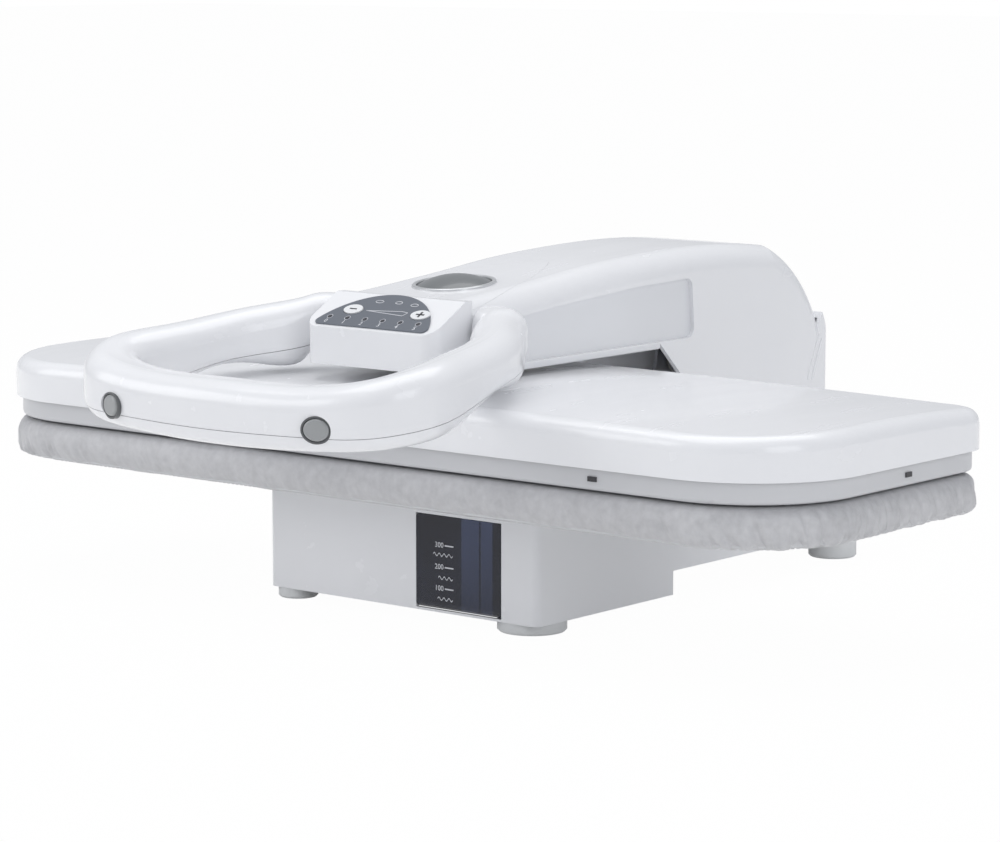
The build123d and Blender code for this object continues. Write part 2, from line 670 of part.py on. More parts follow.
def arm_block(drop, half_width, shoulder):
    """Outer solid of the arm: top curve, rear arc, cheeks and rounded shoulders."""
    top = [(y, z - drop) for y, z in arm_top_points]
    arc_radius = rear_arc_radius - drop

    def on_arc(y):
        return (y, rear_arc_centre[1] + sqrt(arc_radius**2 - (y - rear_arc_centre[0]) ** 2))

    seam_rise = seam_top[1] - rear_arc_centre[1]
    arc_end = (rear_arc_centre[0] + sqrt(arc_radius**2 - seam_rise**2), seam_top[1])
    ridge = on_arc(arm_ridge_y)
    with BuildPart() as block:
        with BuildSketch(Plane.YZ.offset(-half_width)):
            with BuildLine():
                Spline(*top, ridge, tangents=[(1, 0.06), (1, -0.13)])
                ThreePointArc(ridge, on_arc((arm_ridge_y + arc_end[0]) / 2 + 6), arc_end)
                Polyline(arc_end, seam_bottom, *cheek_front, (arm_front_y, arm_bottom_z), top[0])
            make_face()
        extrude(amount=2 * half_width)
        side_edges = block.edges().filter_by(lambda e: abs(abs(e.center().X) - half_width) < 0.1)
        fillet(side_edges.filter_by(lambda e: e.center().Z > 170 and e.length > 50), shoulder)
    return block.part


def teardrop(clearance):
    """Plan of the control fascia on the arm's top, drawn outward by a clearance."""
    with BuildSketch(Plane.XY.offset(frame_floor_z)) as plan:
        with BuildLine():
            ThreePointArc((50, arm_front_y - 2), (36, -32), (11, 23))
            ThreePointArc((11, 23), (0, 29), (-11, 23))
            ThreePointArc((-11, 23), (-36, -32), (-50, arm_front_y - 2))
            Line((-50, arm_front_y - 2), (50, arm_front_y - 2))
        make_face()
        if clearance:
            offset(amount=clearance)
    return plan.sketch


handle_wall = 3.0
bar_depth = 35.0
bar_y = handle_front_y + bar_depth / 2

# Handle loop: sections along the D, from the front middle round to the arm's side.
# Each is x, y, bottom z, top z, depth and the heading of the loop in degrees.
handle_sections = [
    (0.0, bar_y, 124.0, 161.5, bar_depth, 0.0),
    (75.0, bar_y + 5.0, 126.0, 163.0, bar_depth, 13.0),
    (103.0, -246.0, 128.5, 168.0, bar_depth, 36.0),
    (117.5, -226.0, 132.0, 174.0, 32.0, 76.0),
    (114.0, -197.0, 138.5, 177.5, 31.0, 102.0),
    (107.0, -163.0, 150.0, 181.0, 31.0, 111.0),
    (96.0, -134.0, 151.0, 185.5, 32.0, 124.0),
    (78.0, -108.0, 152.0, 190.5, 32.0, 138.0),
    (48.0, -86.0, 153.0, 191.5, 30.0, 146.0),
]
handle_corner = 13.5
handle_seam_angle = 10.0
handle_seam_z = 134.0
handle_seam_gap = 0.4
mirrored = [(-x, y, low, high, depth, -turn) for x, y, low, high, depth, turn in handle_sections[:0:-1]]
loop_sections = mirrored + handle_sections


def handle_loop(inset):
    """Lofted solid of the whole handle loop, drawn inward by an inset."""
    with BuildPart() as loop:
        for x, y, low, high, depth, turn in loop_sections:
            tangent = (cos(radians(turn)), sin(radians(turn)), 0)
            outward = (sin(radians(turn)), -cos(radians(turn)), 0)
            station = Plane(origin=(x, y, (low + high) / 2), x_dir=outward, z_dir=tangent)
            with BuildSketch(station):
                RectangleRounded(depth - 2 * inset, high - low - 2 * inset, handle_corner - inset)
        loft()
    return loop.part


# Handle core: bent steel tube inside the loop, butted on the arm's frame
core_radius = 4.5
core_front_z = 152.0
core_tilt = 6.3
core_half = [(28.0, -74.0), (86.0, -112.0), (106.0, -150.0), (122.0, bar_y)]
core_plane = Plane(
    origin=(0, bar_y, core_front_z),
    x_dir=(1, 0, 0),
    z_dir=(0, -sin(radians(core_tilt)), cos(radians(core_tilt))),
)


def core_tube(radius):
    """Tube along the handle core's route with the given radius."""
    half = [(x, (y - bar_y) / cos(radians(core_tilt))) for x, y in core_half]
    points = half + [(-x, y) for x, y in reversed(half)]
    with BuildPart() as tube:
        with BuildLine(core_plane) as route:
            FilletPolyline(*points, radius=[30, 60, 30, 30, 60, 30])
        with BuildSketch(Plane(origin=route.line @ 0, z_dir=route.line % 0)):
            Circle(radius)
        sweep()
    return tube.part


core_clearance_tube = core_tube(core_radius + 0.2)
with BuildPart() as handle_core:
    add(core_tube(core_radius))
save(handle_core, "handle_core")

# Side windows of the arm, closed from inside by the recessed side panels
panel_lap = 2.5
window_rear_y = 121.0
window_points = [
    (arm_front_y + 12, arm_bottom_z + 1.0),
    (arm_front_y + 12, 180.0),
    (-20.0, 186.5),
    (60.0, 192.0),
    (window_rear_y - 3, 193.5),
    (window_rear_y, arm_bottom_z + 1.0),
]
panel_points = [
    (window_points[0][0] - panel_lap, arm_bottom_z),
    (window_points[1][0] - panel_lap, window_points[1][1] + panel_lap),
    (window_points[2][0], window_points[2][1] + panel_lap),
    (window_points[3][0], window_points[3][1] + panel_lap),
    (window_points[4][0] + panel_lap, window_points[4][1] + panel_lap),
    (window_points[5][0] + panel_lap, arm_bottom_z),
]

# Plane of the dome button, tangent to the arm's top
dome_tilt = 5.2
dome_plane = Plane(
    origin=(0, dome_y, dome_z),
    x_dir=(1, 0, 0),
    z_dir=(0, -sin(radians(dome_tilt)), cos(radians(dome_tilt))),
)
bezel_radius = dome_radius + 0.2 + bezel_width

# Arm cover: white top shell with its two cheeks down past the hinge
arm_outer = arm_block(0, arm_half_width, arm_shoulder_radius)
with BuildPart() as arm_cavity:
    add(arm_block(arm_wall, cheek_inner_x, arm_shoulder_radius - arm_wall))
    cavity_points = [
        (arm_front_y + arm_wall, 40.0),
        (arm_front_y + arm_wall, 178.0),
        (arm_ridge_y, 190.0),
        (seam_top[0] - 4, seam_top[1] - 4),
        (rear_wall_y + 20, 130.0),
        (rear_wall_y + 20, 40.0),
    ]
    add(profile_prism(cavity_points, -cheek_inner_x, cheek_inner_x))
with BuildPart() as fascia_pocket:
    extrude(teardrop(0.15), amount=80)
    add(arm_block(fascia_thickness + 0.1, arm_half_width, arm_shoulder_radius), mode=Mode.SUBTRACT)
with BuildPart() as arm_cover:
    add(arm_outer)
    add(arm_cavity.part, mode=Mode.SUBTRACT)
    for side in (-1, 1):
        low = min(side * (cheek_inner_x - 1), side * (arm_half_width + 1))
        high = max(side * (cheek_inner_x - 1), side * (arm_half_width + 1))
        add(profile_prism(window_points, low, high, radius=6), mode=Mode.SUBTRACT)
    add(fascia_pocket.part, mode=Mode.SUBTRACT)
    add(core_clearance_tube, mode=Mode.SUBTRACT)
    with BuildSketch(dome_plane.offset(-12)):
        Circle(bezel_radius)
    extrude(amount=24, mode=Mode.SUBTRACT)
save(arm_cover, "arm_cover")

# Control fascia: teardrop plate let into the arm's top around the dome button
with BuildPart() as control_fascia:
    extrude(teardrop(0), amount=80)
    add(arm_outer, mode=Mode.INTERSECT)
    add(arm_block(fascia_thickness, arm_half_width, arm_shoulder_radius), mode=Mode.SUBTRACT)
    with BuildSketch(dome_plane.offset(-12)):
        Circle(bezel_radius)
    extrude(amount=24, mode=Mode.SUBTRACT)
save(control_fascia, "control_fascia")

# Side panels: plain recessed panels seen in the arm's windows
for name, side in (("arm_side_panel_left", -1), ("arm_side_panel_right", 1)):
    low = min(side * (cheek_inner_x - 2.5), side * cheek_inner_x)
    high = max(side * (cheek_inner_x - 2.5), side * cheek_inner_x)
    with BuildPart() as side_panel:
        add(profile_prism(panel_points, low, high, radius=4))
        add(core_clearance_tube, mode=Mode.SUBTRACT)
    save(side_panel, name)

# Arm tray: shallow bottom cover with bosses for the frame and holes for the posts
tray_rear_y = 84.0
tray_screw_positions = [(x, y) for x in (-16, 16) for y in (10.0, 70.0)]
with BuildPart() as arm_tray:
    add(box_between((-arm_half_width, arm_front_y, arm_tray_bottom_z),
                    (arm_half_width, tray_rear_y, arm_bottom_z)))
    fillet(arm_tray.faces().sort_by(Axis.Z)[0].edges(), 1.5)
    add(box_between((-cheek_inner_x, arm_front_y + arm_wall, arm_tray_bottom_z + 2),
                    (cheek_inner_x, tray_rear_y - arm_wall, arm_bottom_z + 1)), mode=Mode.SUBTRACT)
    for x, y in tray_screw_positions:
        add(cylinder_between(x, y, arm_tray_bottom_z + 1, frame_bottom_z, 5))
        add(cylinder_between(x, y, arm_tray_bottom_z - 1, frame_bottom_z + 1, 1.6), mode=Mode.SUBTRACT)
    for x, y in post_positions:
        opening = guide_spring_radius + 1.5
        add(cylinder_between(x, y, arm_tray_bottom_z - 1, arm_bottom_z, opening), mode=Mode.SUBTRACT)
save(arm_tray, "arm_tray")
with BuildPart() as tray_screws:
    for x, y in tray_screw_positions:
        add(cylinder_between(x, y, arm_tray_bottom_z - 0.6, arm_tray_bottom_z, 3.0))
        add(cylinder_between(x, y, arm_tray_bottom_z, frame_bottom_z, 1.55))
save(tray_screws, "tray_screws")

# Rear cover: skirt behind the slanted seam, closing the arm's tail over the hinge
flat_z = rear_arc_centre[1] + sqrt(rear_arc_radius**2 - (rear_wall_y - rear_arc_centre[0]) ** 2)
with BuildPart() as rear_cover:
    with BuildSketch(Plane.YZ.offset(-arm_half_width)):
        with BuildLine():
            arc_mid_y = (seam_top[0] + rear_wall_y) / 2
            arc_mid_z = rear_arc_centre[1] + sqrt(rear_arc_radius**2 - (arc_mid_y - rear_arc_centre[0]) ** 2)
            ThreePointArc(seam_top, (arc_mid_y, arc_mid_z), (rear_wall_y, flat_z))
            Polyline((rear_wall_y, flat_z), (rear_wall_y, cheek_bottom_z), seam_bottom, seam_top)
        make_face()
    extrude(amount=2 * arm_half_width)
    rear_uprights = rear_cover.edges().filter_by(Axis.Z).group_by(Axis.Y)[-1]
    fillet(rear_uprights, 6.0)
    hollow_points = [
        (seam_top[0] - 10, seam_top[1] - 4),
        (seam_top[0] + 1.5, seam_top[1] - 4),
        (rear_wall_y - arm_wall, flat_z - 1),
        (rear_wall_y - arm_wall, 40.0),
        (seam_bottom[0] - 20, 40.0),
        (seam_bottom[0] - 20, seam_bottom[1]),
    ]
    add(profile_prism(hollow_points, -cheek_inner_x, cheek_inner_x), mode=Mode.SUBTRACT)
save(rear_cover, "rear_cover")

# Handle shells: the loop hollowed out and parted on a gently rising seam
seam_plane = Plane(
    origin=(0, handle_front_y, handle_seam_z),
    x_dir=(1, 0, 0),
    z_dir=(0, -sin(radians(handle_seam_angle)), cos(radians(handle_seam_angle))),
)
upper_cut = seam_plane.offset(handle_seam_gap / 2)
lower_cut = seam_plane.offset(-handle_seam_gap / 2)


def button_plane(side, depth):
    """Plane square to a steam button's travel, at a depth behind the button's face."""
    turn = side * radians(steam_button_turn)
    face_y = handle_front_y + steam_button_setback
    middle = (side * steam_button_x - depth * sin(turn), face_y + depth * cos(turn), steam_button_z)
    return Plane(origin=middle, x_dir=(cos(turn), sin(turn), 0), z_dir=(-sin(turn), cos(turn), 0))


handle_outer = handle_loop(0)
handle_inner = handle_loop(handle_wall)
ring_x = steam_button_half_width + button_clearance + steam_ring_width
ring_z = steam_button_half_height + button_clearance + steam_ring_width
for name, cut, keep in (("handle_upper", upper_cut, Keep.TOP), ("handle_lower", lower_cut, Keep.BOTTOM)):
    with BuildPart() as handle_shell:
        add(handle_outer)
        add(handle_inner, mode=Mode.SUBTRACT)
        add(box_between((-arm_half_width, -150, 100), (arm_half_width, 0, 250)), mode=Mode.SUBTRACT)
        for side in (-1, 1):
            with BuildSketch(button_plane(side, -6)):
                Ellipse(ring_x, ring_z)
            extrude(amount=20, mode=Mode.SUBTRACT)
        split(bisect_by=cut, keep=keep)
        add(core_clearance_tube, mode=Mode.SUBTRACT)
    save(handle_shell, name)

# Steam buttons with their rings and switches, one at each turned end of the front bar
for name, side in (("left", -1), ("right", 1)):
    with BuildPart() as steam_button:
        with BuildSketch(button_plane(side, 0)):
            Ellipse(steam_button_half_width, steam_button_half_height)
        extrude(amount=steam_button_depth)
        fillet(steam_button.faces().sort_by(Axis.Y)[0].edges(), 1.8)
    save(steam_button, f"steam_button_{name}")
with BuildPart() as steam_rings:
    for side in (-1, 1):
        with BuildSketch(button_plane(side, 1.0)):
            Ellipse(ring_x, ring_z)
            Ellipse(ring_x - steam_ring_width, ring_z - steam_ring_width, mode=Mode.SUBTRACT)
        extrude(amount=5)
save(steam_rings, "steam_rings")
with BuildPart() as steam_switches:
    for side in (-1, 1):
        with BuildSketch(button_plane(side, steam_button_depth + steam_button_travel + 0.2)):
            with Locations((0, 2)):
                Rectangle(14, 16)
        extrude(amount=9)
save(steam_switches, "steam_switches")

# Control nose: hollow housing in front of the arm, with the sloping key panel
nose_side = [
    (nose_front_y, nose_bottom_z),
    (nose_front_y, panel_front_z),
    (panel_rear_y, panel_rear_z),
    (arm_front_y, arm_top_points[0][1]),
    (arm_front_y, nose_bottom_z),
]
nose_wall = 2.5
with BuildPart() as control_nose:
    add(profile_prism(nose_side, -nose_half_width, nose_half_width))
    nose_front = control_nose.edges().filter_by(Axis.Z).group_by(Axis.Y)[0]
    fillet(nose_front, 10.0)
    nose_cavity = [
        (nose_front_y + nose_wall, nose_bottom_z + nose_wall),
        (nose_front_y + nose_wall, panel_front_z - 1.4),
        (panel_rear_y, panel_rear_z - nose_wall - 0.5),
        (arm_front_y + 1, panel_rear_z - nose_wall - 0.5),
        (arm_front_y + 1, nose_bottom_z + nose_wall),
    ]
    add(profile_prism(nose_cavity, -nose_half_width + 7, nose_half_width - 7), mode=Mode.SUBTRACT)
save(control_nose, "control_nose")

# Control label with its two keys and a row of indicator lights
label_plane = Plane(
    origin=(0, (nose_front_y + panel_rear_y) / 2, (panel_front_z + panel_rear_z) / 2),
    x_dir=(1, 0, 0),
    z_dir=(0, -sin(radians(panel_slope)), cos(radians(panel_slope))),
)
key_positions = [("minus_key", minus_x), ("plus_key", minus_x + key_spacing)]
led_positions = [(minus_x - 12.5 + i * 14.0, -8.5) for i in range(led_count)]
with BuildPart() as control_label:
    with BuildSketch(label_plane) as label_face:
        with BuildLine():
            low_v = -label_depth / 2 + 1
            Line((-label_half_width, low_v), (label_half_width, low_v))
            ThreePointArc((label_half_width, low_v), (0, low_v + label_depth), (-label_half_width, low_v))
        make_face()
        fillet(label_face.vertices(), 3.5)
        with Locations(*[(x, 0) for _, x in key_positions]):
            Ellipse(key_length / 2 + 0.3, key_width / 2 + 0.3, mode=Mode.SUBTRACT)
        with Locations(*led_positions):
            Circle(led_radius, mode=Mode.SUBTRACT)
    extrude(amount=label_thickness)
save(control_label, "control_label")
for name, x in key_positions:
    with BuildPart() as key:
        with BuildSketch(label_plane.offset(key_travel + 0.05)):
            with Locations((x, 0)):
                Ellipse(key_length / 2, key_width / 2)
        extrude(amount=label_thickness)
    save(key, name)
with BuildPart() as indicator_lights:
    with BuildSketch(label_plane):
        with Locations(*led_positions):
            Circle(led_radius)
    extrude(amount=label_thickness + 0.2)
save(indicator_lights, "indicator_lights")
with BuildPart() as control_board:
    with BuildSketch(label_plane.offset(-14)):
        Rectangle(76, 16)
    extrude(amount=1.6)
    with BuildSketch(label_plane.offset(-12.4)):
        with GridLocations(66, 8, 2, 2):
            Circle(2)
    extrude(amount=9.7)
save(control_board, "control_board")

# Dome button, its bezel and its switch on a bridge over the arm's frame
with BuildPart() as dome_bezel:
    with BuildSketch(dome_plane.offset(-4)):
        Circle(bezel_radius)
        Circle(bezel_radius - bezel_width, mode=Mode.SUBTRACT)
    extrude(amount=5.4)
    chamfer(dome_bezel.faces().sort_by(Axis.Z)[-1].edges(), 0.5)
save(dome_bezel, "dome_bezel")
dome_skirt = 5.0
dome_sphere = (dome_radius**2 + dome_rise**2) / (2 * dome_rise)
with BuildPart() as dome_button:
    with BuildSketch(Plane(dome_plane.origin, x_dir=(1, 0, 0), z_dir=-dome_plane.y_dir)):
        with BuildLine():
            half_chord = dome_radius / 2
            mid_rise = dome_rise - dome_sphere + sqrt(dome_sphere**2 - half_chord**2)
            ThreePointArc((0, dome_rise), (half_chord, mid_rise), (dome_radius, 0))
            Polyline((dome_radius, 0), (dome_radius, -dome_skirt), (0, -dome_skirt), (0, dome_rise))
        make_face()
    revolve(axis=Axis(dome_plane.origin, dome_plane.z_dir))
save(dome_button, "dome_button")
switch_height = 9.6
bridge_z = dome_z - dome_skirt - dome_travel - switch_height - 0.8
with BuildPart() as dome_switch:
    add(box_between((-frame_half_width, dome_y - 8, bridge_z),
                    (frame_half_width, dome_y + 8, bridge_z + 1.5)))
    add(box_between((-6, dome_y - 6, bridge_z + 1.5), (6, dome_y + 6, bridge_z + 8)))
    add(cylinder_between(0, dome_y, bridge_z + 8, bridge_z + switch_height, 2))
save(dome_switch, "dome_switch")
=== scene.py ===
# Steam ironing press, dressed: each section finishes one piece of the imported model, from
# the floor up, and the studio comes last. Metres, in the model's own frame.
from math import cos, pi, radians, sin

import bmesh
import bpy
from mathutils import Matrix, Vector, noise


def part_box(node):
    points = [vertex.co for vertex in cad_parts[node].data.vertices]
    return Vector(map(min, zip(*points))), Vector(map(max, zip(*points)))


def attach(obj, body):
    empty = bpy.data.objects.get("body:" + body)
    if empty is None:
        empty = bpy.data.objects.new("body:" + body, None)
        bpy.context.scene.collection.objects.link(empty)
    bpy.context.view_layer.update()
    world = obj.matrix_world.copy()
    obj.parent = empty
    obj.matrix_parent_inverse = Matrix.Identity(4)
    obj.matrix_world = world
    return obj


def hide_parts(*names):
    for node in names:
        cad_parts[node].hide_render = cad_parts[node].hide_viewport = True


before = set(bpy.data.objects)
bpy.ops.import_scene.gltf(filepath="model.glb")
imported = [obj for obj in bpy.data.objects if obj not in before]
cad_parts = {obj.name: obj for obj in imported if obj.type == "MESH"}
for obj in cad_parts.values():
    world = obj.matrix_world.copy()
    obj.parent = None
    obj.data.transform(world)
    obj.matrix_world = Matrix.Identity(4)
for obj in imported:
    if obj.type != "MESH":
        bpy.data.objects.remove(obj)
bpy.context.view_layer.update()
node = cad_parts


# Base box, front cover and floor plates
# White ABS mouldings with a polished skin. The front cover clips round the box's front
# corners and leaves a thin joint on each side, and the plates close the box from below.
class Link:
    """One output of a shader node. Sums written on it add Math nodes to its tree."""

    def __init__(self, recipe, socket):
        self.recipe = recipe
        self.socket = socket

    def maths(self, operation, first, second):
        return self.recipe.add("ShaderNodeMath", {"operation": operation}, {0: first, 1: second})

    def __add__(self, other):
        return self.maths("ADD", self, other)

    __radd__ = __add__

    def __mul__(self, other):
        return self.maths("MULTIPLY", self, other)

    __rmul__ = __mul__

    def __sub__(self, other):
        return self.maths("SUBTRACT", self, other)

    def __rsub__(self, other):
        return self.maths("SUBTRACT", other, self)

    def __gt__(self, other):
        return self.maths("GREATER_THAN", self, other)


class Recipe:
    """A finish while it is mixed: its material, its tree and its main shader."""

    def __init__(self, name):
        self.material = bpy.data.materials.new(name)
        self.material.use_nodes = True
        self.tree = self.material.node_tree
        self.shader = self.tree.nodes["Principled BSDF"]

    def join(self, socket, value):
        if isinstance(value, Link):
            self.tree.links.new(value.socket, socket)
        else:
            socket.default_value = value

    def add(self, kind, settings, sockets, output=0):
        made = self.tree.nodes.new(kind)
        for key, value in settings.items():
            if key == "stops":
                made.color_ramp.elements[0].position, made.color_ramp.elements[0].color = value[0]
                made.color_ramp.elements[1].position, made.color_ramp.elements[1].color = value[1]
            else:
                setattr(made, key, value)
        for key, value in sockets.items():
            self.join(made.inputs[key], value)
        return Link(self, made.outputs[output])

    def place(self, output="Object"):
        return self.add("ShaderNodeTexCoord", {}, {}, output)

    def speckle(self, scale, detail=2.0, stretch=(1, 1, 1), place=None):
        spot = self.add("ShaderNodeMapping", {}, {"Vector": place or self.place(), "Scale": stretch})
        return self.add("ShaderNodeTexNoise", {}, {"Vector": spot, "Scale": scale, "Detail": detail})

    def tint(self, amount, low, high):
        return self.add("ShaderNodeMix", {"data_type": "RGBA"}, {0: amount, 6: (*low, 1), 7: (*high, 1)}, 2)

    def relief(self, height, strength, distance):
        return self.add(
            "ShaderNodeBump", {}, {"Height": height, "Strength": strength, "Distance": distance})

    def skin(self, sockets):
        for key, value in sockets.items():
            self.join(self.shader.inputs[key], value)
        return self.material


def moulded(name, colour, shade, gloss, coat=0.0, grain=0.00002):
    """Injection moulded plastic: faint mottling, fine orange peel and slightly uneven gloss."""
    plastic = Recipe(name)
    mottle = plastic.speckle(14.0)
    peel = plastic.speckle(240.0, 1.0)
    rubs = plastic.speckle(60.0, 4.0, (1, 0.25, 1))
    return plastic.skin({
        "Base Color": plastic.tint(mottle, shade, colour),
        "Roughness": gloss + (rubs - 0.5) * 0.08,
        "Coat Weight": coat,
        "Coat Roughness": 0.06,
        "Normal": plastic.relief(peel, 0.12, grain),
    })


def dress(finish, *names):
    """Gives model pieces, which keep their shape and place, a finish."""
    for name in names:
        piece = node[name]
        if not piece.material_slots:
            piece.data.materials.append(finish)
        for slot in piece.material_slots:
            slot.material = finish


white_gloss = moulded("white_gloss", (0.90, 0.905, 0.92), (0.875, 0.88, 0.90), 0.26, coat=0.3)
white_satin = moulded("white_satin", (0.86, 0.865, 0.88), (0.83, 0.835, 0.855), 0.38, coat=0.1)
dress(white_gloss, "base_front_cover", "base_housing")
dress(white_satin, "base_plate", "rear_base_plate")

# Feet: light grey thermoplastic rubber discs pressed into the floor plates
foot_rubber = moulded("foot_rubber", (0.80, 0.81, 0.81), (0.75, 0.76, 0.76), 0.62, grain=0.00006)
dress(foot_rubber, "front_feet", "rear_feet")

# Water tank: smoked polycarbonate front on a clear box, with a white printed level scale
smoked = Recipe("smoked_polycarbonate")
haze = smoked.speckle(35.0, 3.0)
# Two bluish bands, brighter towards the top, stand for the tank's inner wells behind the front.
sideways = smoked.add("ShaderNodeSeparateXYZ", {}, {0: smoked.place()}, 0)
height = smoked.add("ShaderNodeSeparateXYZ", {}, {0: smoked.place()}, 2)
wells = ((sideways > 0.0495) - (sideways > 0.0632)) + ((sideways > 0.0645) - (sideways > 0.0735))
tank_smoke = smoked.skin({
    "Base Color": smoked.tint(haze * 0.2 + wells * (0.2 + height * 12.0) * 0.8,
                              (0.008, 0.008, 0.014), (0.075, 0.10, 0.20)),
    "Roughness": 0.08 + haze * 0.06,
    "Alpha": 0.74 + haze * 0.05,
})
clear = Recipe("clear_polycarbonate")
fog = clear.speckle(50.0, 3.0)
tank_clear = clear.skin({
    "Base Color": clear.tint(fog, (0.30, 0.36, 0.50), (0.40, 0.46, 0.60)),
    "Roughness": 0.12 + fog * 0.1,
    "Alpha": 0.30 + fog * 0.1,
})
dark_plastic = moulded("dark_plastic", (0.045, 0.045, 0.05), (0.03, 0.03, 0.035), 0.4)
dress(tank_smoke, "tank_front")
dress(tank_clear, "tank_body")
dress(dark_plastic, "tank_cap")
dress(tank_clear, "pickup_tube")


def sheet_mark(name, outlines, origin, across, up, thickness, finish, body):
    """Thin printed marks: closed outlines in (across, up) metres, raised by a film of ink."""
    lift = across.cross(up).normalized() * thickness
    form = bmesh.new()
    for outline in outlines:
        low = [form.verts.new(origin + across * u + up * v) for u, v in outline]
        high = [form.verts.new(vert.co + lift) for vert in low]
        form.faces.new(high)
        form.faces.new(low[::-1])
        for i in range(len(low)):
            j = (i + 1) % len(low)
            form.faces.new((low[i], low[j], high[j], high[i]))
    bmesh.ops.recalc_face_normals(form, faces=form.faces)
    mesh = bpy.data.meshes.new(name)
    form.to_mesh(mesh)
    form.free()
    mesh.materials.append(finish)
    made = bpy.data.objects.new(name, mesh)
    bpy.context.scene.collection.objects.link(made)
    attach(made, body)
    return made


def bar(left, right, low, high):
    return [(left, low), (right, low), (right, high), (left, high)]


def ripple(left, right, middle, height, waves, width):
    """Wavy stroke as a closed outline."""
    steps = waves * 8
    top = []
    under = []
    for i in range(steps + 1):
        u = left + (right - left) * i / steps
        v = middle + height * sin(2 * pi * waves * i / steps)
        top.append((u, v + width / 2))
        under.append((u, v - width / 2))
    return under + top[::-1]


def numeral(name, text, size, origin, across, up, finish, body, centred=False):
    """Plain printed numerals, made from Blender's own typeface and turned into a mesh."""
    curve = bpy.data.curves.new(name, "FONT")
    curve.body = text
    curve.size = size
    curve.extrude = 0.00006
    curve.resolution_u = 3
    curve.align_x = "CENTER" if centred else "RIGHT"
    curve.align_y = "CENTER"
    letters = bpy.data.objects.new(name + "_curve", curve)
    bpy.context.scene.collection.objects.link(letters)
    bpy.context.view_layer.update()
    mesh = bpy.data.meshes.new_from_object(letters.evaluated_get(bpy.context.evaluated_depsgraph_get()))
    bpy.data.objects.remove(letters)
    out = across.cross(up)
    turn = Matrix((across, up, out)).transposed().to_4x4()
    mesh.transform(Matrix.Translation(origin) @ turn)
    mesh.materials.clear()
    mesh.materials.append(finish)
    made = bpy.data.objects.new(name, mesh)
    bpy.context.scene.collection.objects.link(made)
    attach(made, body)
    return made


ink = Recipe("white_ink")
print_wear = ink.speckle(420.0, 3.0)
white_ink = ink.skin({
    "Base Color": ink.tint(print_wear, (0.62, 0.63, 0.66), (0.86, 0.87, 0.9)),
    "Roughness": 0.5 + print_wear * 0.1,
})
tank_low = Vector(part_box("tank_front")[0])
scale_origin = Vector((0, tank_low.y - 0.00012, 0))
along_x = Vector((1, 0, 0))
upward = Vector((0, 0, 1))
levels = []
for tick in (0.0482, 0.0349, 0.0218):
    levels.append(bar(0.0366, 0.0434, tick - 0.0004, tick + 0.0004))
levels.append(ripple(0.0275, 0.0428, 0.0424, 0.0009, 4, 0.0006))
levels.append(ripple(0.0315, 0.0428, 0.0283, 0.0009, 3, 0.0006))
levels.append(ripple(0.0310, 0.0428, 0.0155, 0.0009, 3, 0.0006))
level_marks = sheet_mark(
    "level_marks", levels, scale_origin, along_x, upward, 0.0001, white_ink, "tank")
for text, height in (("300", 0.0482), ("200", 0.0349), ("100", 0.0218)):
    numbers = numeral("level_" + text, text, 0.0046, Vector((0.0356, tank_low.y - 0.00008, height)),
                      along_x, upward, white_ink, "tank")

# Works inside the base: pump, hoses, board, bracket, hinge bushes and lift springs
# The pump and board are bought-in parts. The bracket is folded zinc-plated steel, the bushes
# are turned nylon, and the springs are oiled steel wire.
def metal(name, low, high, gloss, scratch=(1, 30, 1)):
    """Bare metal with drawn scratches, cloudy patches and a soft sheen."""
    sheet = Recipe(name)
    cloud = sheet.speckle(18.0, 4.0)
    drawn = sheet.speckle(220.0, 3.0, scratch)
    return sheet.skin({
        "Base Color": sheet.tint(cloud, low, high),
        "Metallic": 0.9,
        "Roughness": gloss + (drawn - 0.5) * 0.16,
        "Normal": sheet.relief(drawn, 0.2, 0.00004),
    })


zinc_steel = metal("zinc_steel", (0.50, 0.51, 0.53), (0.64, 0.65, 0.67), 0.34)
spring_steel = metal("spring_steel", (0.36, 0.36, 0.37), (0.48, 0.48, 0.5), 0.28)
nylon = moulded("nylon", (0.80, 0.78, 0.71), (0.74, 0.72, 0.65), 0.45)
circuit_green = moulded("circuit_green", (0.03, 0.16, 0.08), (0.02, 0.11, 0.05), 0.3, coat=0.3)
dress(zinc_steel, "post_bracket", "board_panel")
dress(spring_steel, "lift_springs", "hinge_shaft")
dress(nylon, "hinge_bushes", "pump_hose", "inlet_hose")
dress(dark_plastic, "pump", "cord_gland")
dress(circuit_green, "power_board", "control_board")

# Board cushion: silver-grey coated cloth drawn over the foam
# The cloth goes over the foam, down the sides and under the board, where a sewn hem with a
# drawn cord gathers it. The gathers are deepest round the corners and at the ends.
board_half = 0.320
board_front = -0.165
board_rear = 0.050
front_round = 0.074
rear_round = 0.022


